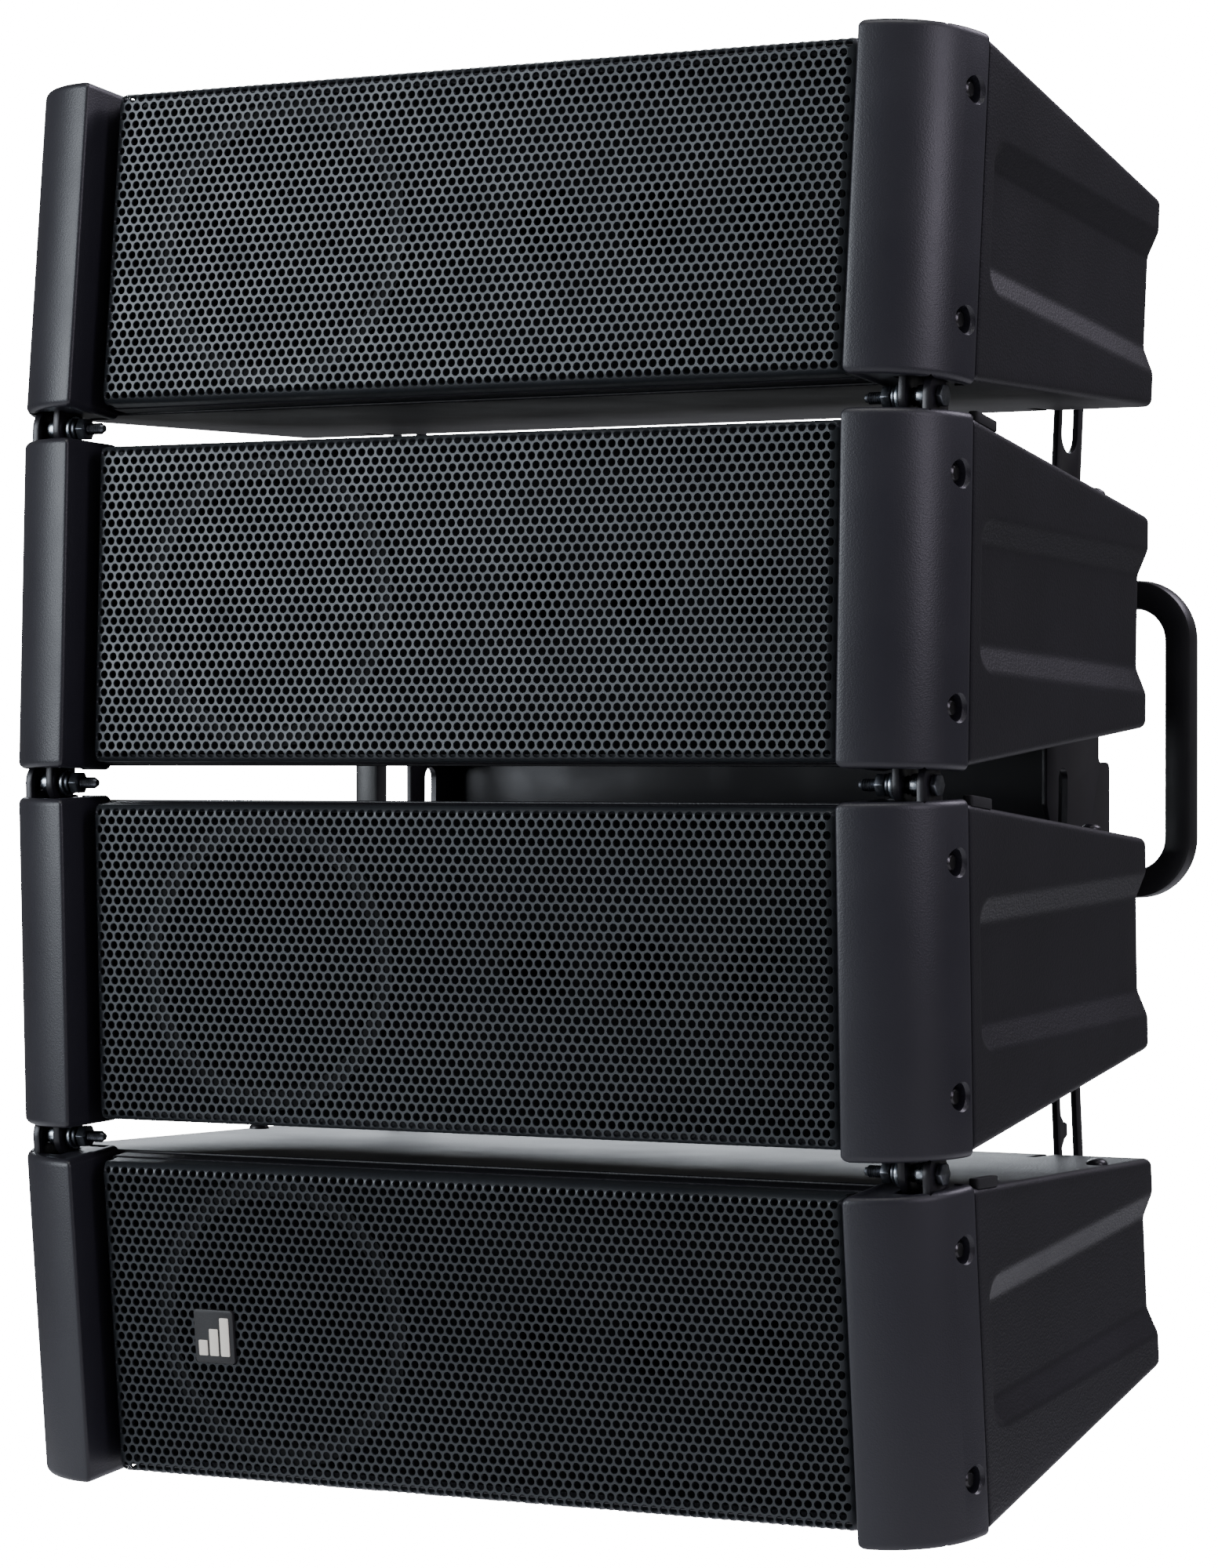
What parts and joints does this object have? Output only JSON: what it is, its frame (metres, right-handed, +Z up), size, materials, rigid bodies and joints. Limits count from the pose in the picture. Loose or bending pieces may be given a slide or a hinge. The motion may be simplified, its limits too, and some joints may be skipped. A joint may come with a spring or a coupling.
{
  "type": "line array loudspeaker",
  "caption": "Compact black line array of wedge loudspeaker modules hinged at the front corners, with perforated grilles, rear link plates and side handles.",
  "frame": {"origin": "centre of the bounding box of the array as stored, splayed 4 degrees per joint", "axes": "+X to the right as seen facing the grilles, +Y from the grilles to the rear, +Z up"},
  "size_m": [0.408, 0.2908, 0.5488],
  "materials": {
    "cabinet": "leather-textured moulded black",
    "pillar": "fine satin black",
    "grille": "satin powder coat on perforated steel",
    "baffle": "matte",
    "horn": "satin",
    "basket": "satin",
    "cone": "coated paper",
    "zinc": "zinc plated",
    "plate": "satin black powder coat",
    "handle": "satin black powder coat",
    "panel": "fine matte"
  },
  "bodies": {
    "module_1": {"cabinet_1": "cabinet", "baffle_1": "baffle", "grille_1": "grille", "pillar_left_1": "pillar", "pillar_right_1": "pillar", "hinge_bracket_left_1": "zinc", "hinge_bracket_right_1": "zinc", "woofer_frame_1": "basket", "tweeter_bar_1": "horn", "hinge_bolt_left_12": "zinc", "link_plate_left_12": "plate", "hinge_bolt_right_12": "zinc", "link_plate_right_12": "plate"},
    "cone_1": {"woofer_cone_1": "cone"},
    "module_2": {"cabinet_2": "cabinet", "baffle_2": "baffle", "grille_2": "grille", "pillar_left_2": "pillar", "pillar_right_2": "pillar", "hinge_bracket_left_2": "zinc", "hinge_bracket_right_2": "zinc", "woofer_frame_2": "basket", "tweeter_bar_2": "horn", "hinge_bolt_left_23": "zinc", "clamp_bolt_left_12": "zinc", "handle_left": "handle", "hinge_bolt_right_23": "zinc", "clamp_bolt_right_12": "zinc", "handle_right": "handle", "rear_bracket": "plate"},
    "cone_2": {"woofer_cone_2": "cone"},
    "module_3": {"cabinet_3": "cabinet", "baffle_3": "baffle", "grille_3": "grille", "pillar_left_3": "pillar", "pillar_right_3": "pillar", "hinge_bracket_left_3": "zinc", "hinge_bracket_right_3": "zinc", "woofer_frame_3": "basket", "tweeter_bar_3": "horn", "hinge_bolt_left_34": "zinc", "clamp_bolt_left_23": "zinc", "clamp_bolt_left_34": "zinc", "hinge_bolt_right_34": "zinc", "clamp_bolt_right_23": "zinc", "clamp_bolt_right_34": "zinc"},
    "cone_3": {"woofer_cone_3": "cone"},
    "module_4": {"cabinet_4": "cabinet", "baffle_4": "baffle", "grille_4": "grille", "pillar_left_4": "pillar", "pillar_right_4": "pillar", "hinge_bracket_left_4": "zinc", "hinge_bracket_right_4": "zinc", "woofer_frame_4": "basket", "tweeter_bar_4": "horn", "link_plate_left_34": "plate", "link_plate_right_34": "plate", "input_panel": "panel"},
    "cone_4": {"woofer_cone_4": "cone"}
  },
  "joints": [
    {"name": "splay_12", "type": "hinge", "parent": "module_1", "child": "module_2", "pos_m": [0, -0.11728, 0.13911], "axis": [1, 0, 0], "range_deg": [-4, 10]},
    {"name": "splay_23", "type": "hinge", "parent": "module_2", "child": "module_3", "pos_m": [0, -0.12214, 0], "axis": [1, 0, 0], "range_deg": [-4, 10]},
    {"name": "splay_34", "type": "hinge", "parent": "module_3", "child": "module_4", "pos_m": [0, -0.11728, -0.13911], "axis": [1, 0, 0], "range_deg": [-4, 10]},
    {"name": "cone_travel_1", "type": "slide", "parent": "module_1", "child": "cone_1", "axis": [0, 0.9945, -0.1045], "range_m": [-0.003, 0.003], "stiffness_N_per_m": 1500},
    {"name": "cone_travel_2", "type": "slide", "parent": "module_2", "child": "cone_2", "axis": [0, 0.9994, -0.0349], "range_m": [-0.003, 0.003], "stiffness_N_per_m": 1500},
    {"name": "cone_travel_3", "type": "slide", "parent": "module_3", "child": "cone_3", "axis": [0, 0.9994, 0.0349], "range_m": [-0.003, 0.003], "stiffness_N_per_m": 1500},
    {"name": "cone_travel_4", "type": "slide", "parent": "module_4", "child": "cone_4", "axis": [0, 0.9945, 0.1045], "range_m": [-0.003, 0.003], "stiffness_N_per_m": 1500}
  ]
}
